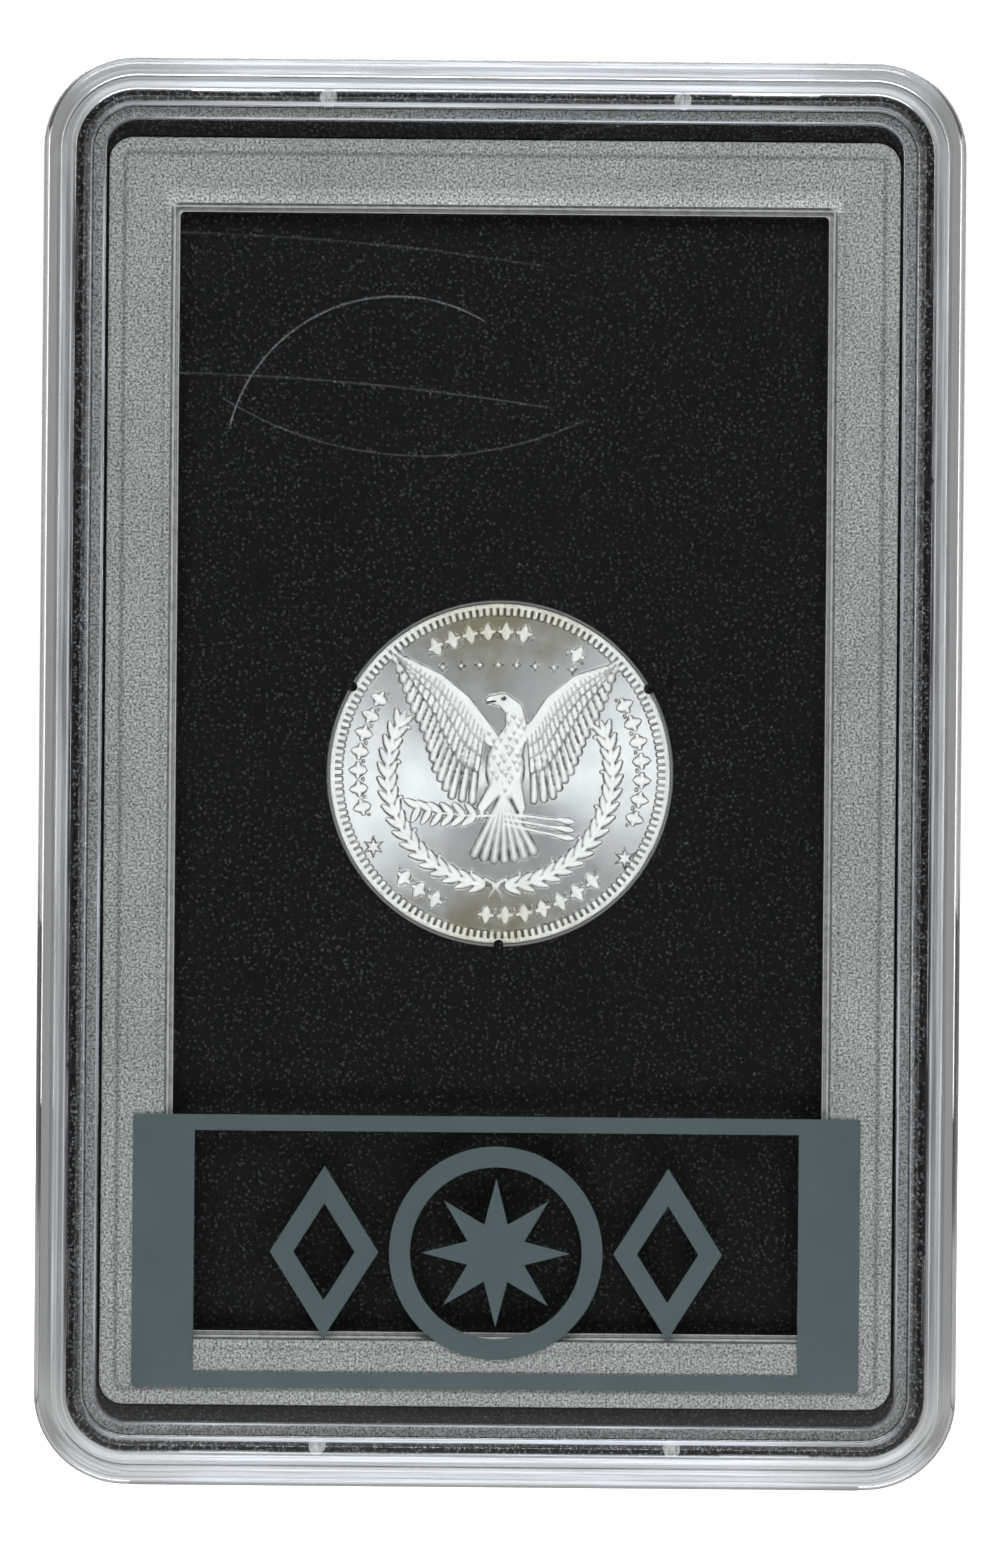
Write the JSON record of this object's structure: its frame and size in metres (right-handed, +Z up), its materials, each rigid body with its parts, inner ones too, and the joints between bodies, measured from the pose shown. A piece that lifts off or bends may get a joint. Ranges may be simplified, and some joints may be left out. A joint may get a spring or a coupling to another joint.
{
  "type": "graded coin slab",
  "caption": "Clear welded coin holder that encloses a smaller frosted-border coin case, with a silver coin gripped between black insert plates.",
  "frame": {"origin": "middle of the lower short edge that the slab stands on, at half its thickness", "axes": "+Z up along the slab's height, +X to the right, the shown back face looks along -Y and the front face with the label card along +Y"},
  "size_m": [0.1018, 0.0166, 0.1576],
  "materials": {
    "clear_plastic": "gloss",
    "case_plastic": "satin",
    "black_gasket": "matte",
    "black_insert": "satin",
    "silver": "satin",
    "foil": "gloss",
    "panel_ink": "satin",
    "label_card": "matte",
    "label_ink": "matte"
  },
  "bodies": {
    "slab": {"slab_back_shell": "clear_plastic", "slab_front_shell": "clear_plastic", "case_back_shell": "case_plastic", "case_front_shell": "case_plastic", "gasket_frame": "black_gasket", "coin_insert_back": "black_insert", "coin_insert_front": "black_insert", "insert_foil_stamp": "foil", "back_panel_print": "panel_ink", "label_card": "label_card", "label_card_print": "label_ink"},
    "coin": {"coin": "silver"}
  },
  "joints": [
    {"name": "coin_turn", "type": "hinge", "parent": "slab", "child": "coin", "pos_m": [0, -0.00022, 0.0788], "axis": [0, -1, 0], "continuous": true}
  ]
}
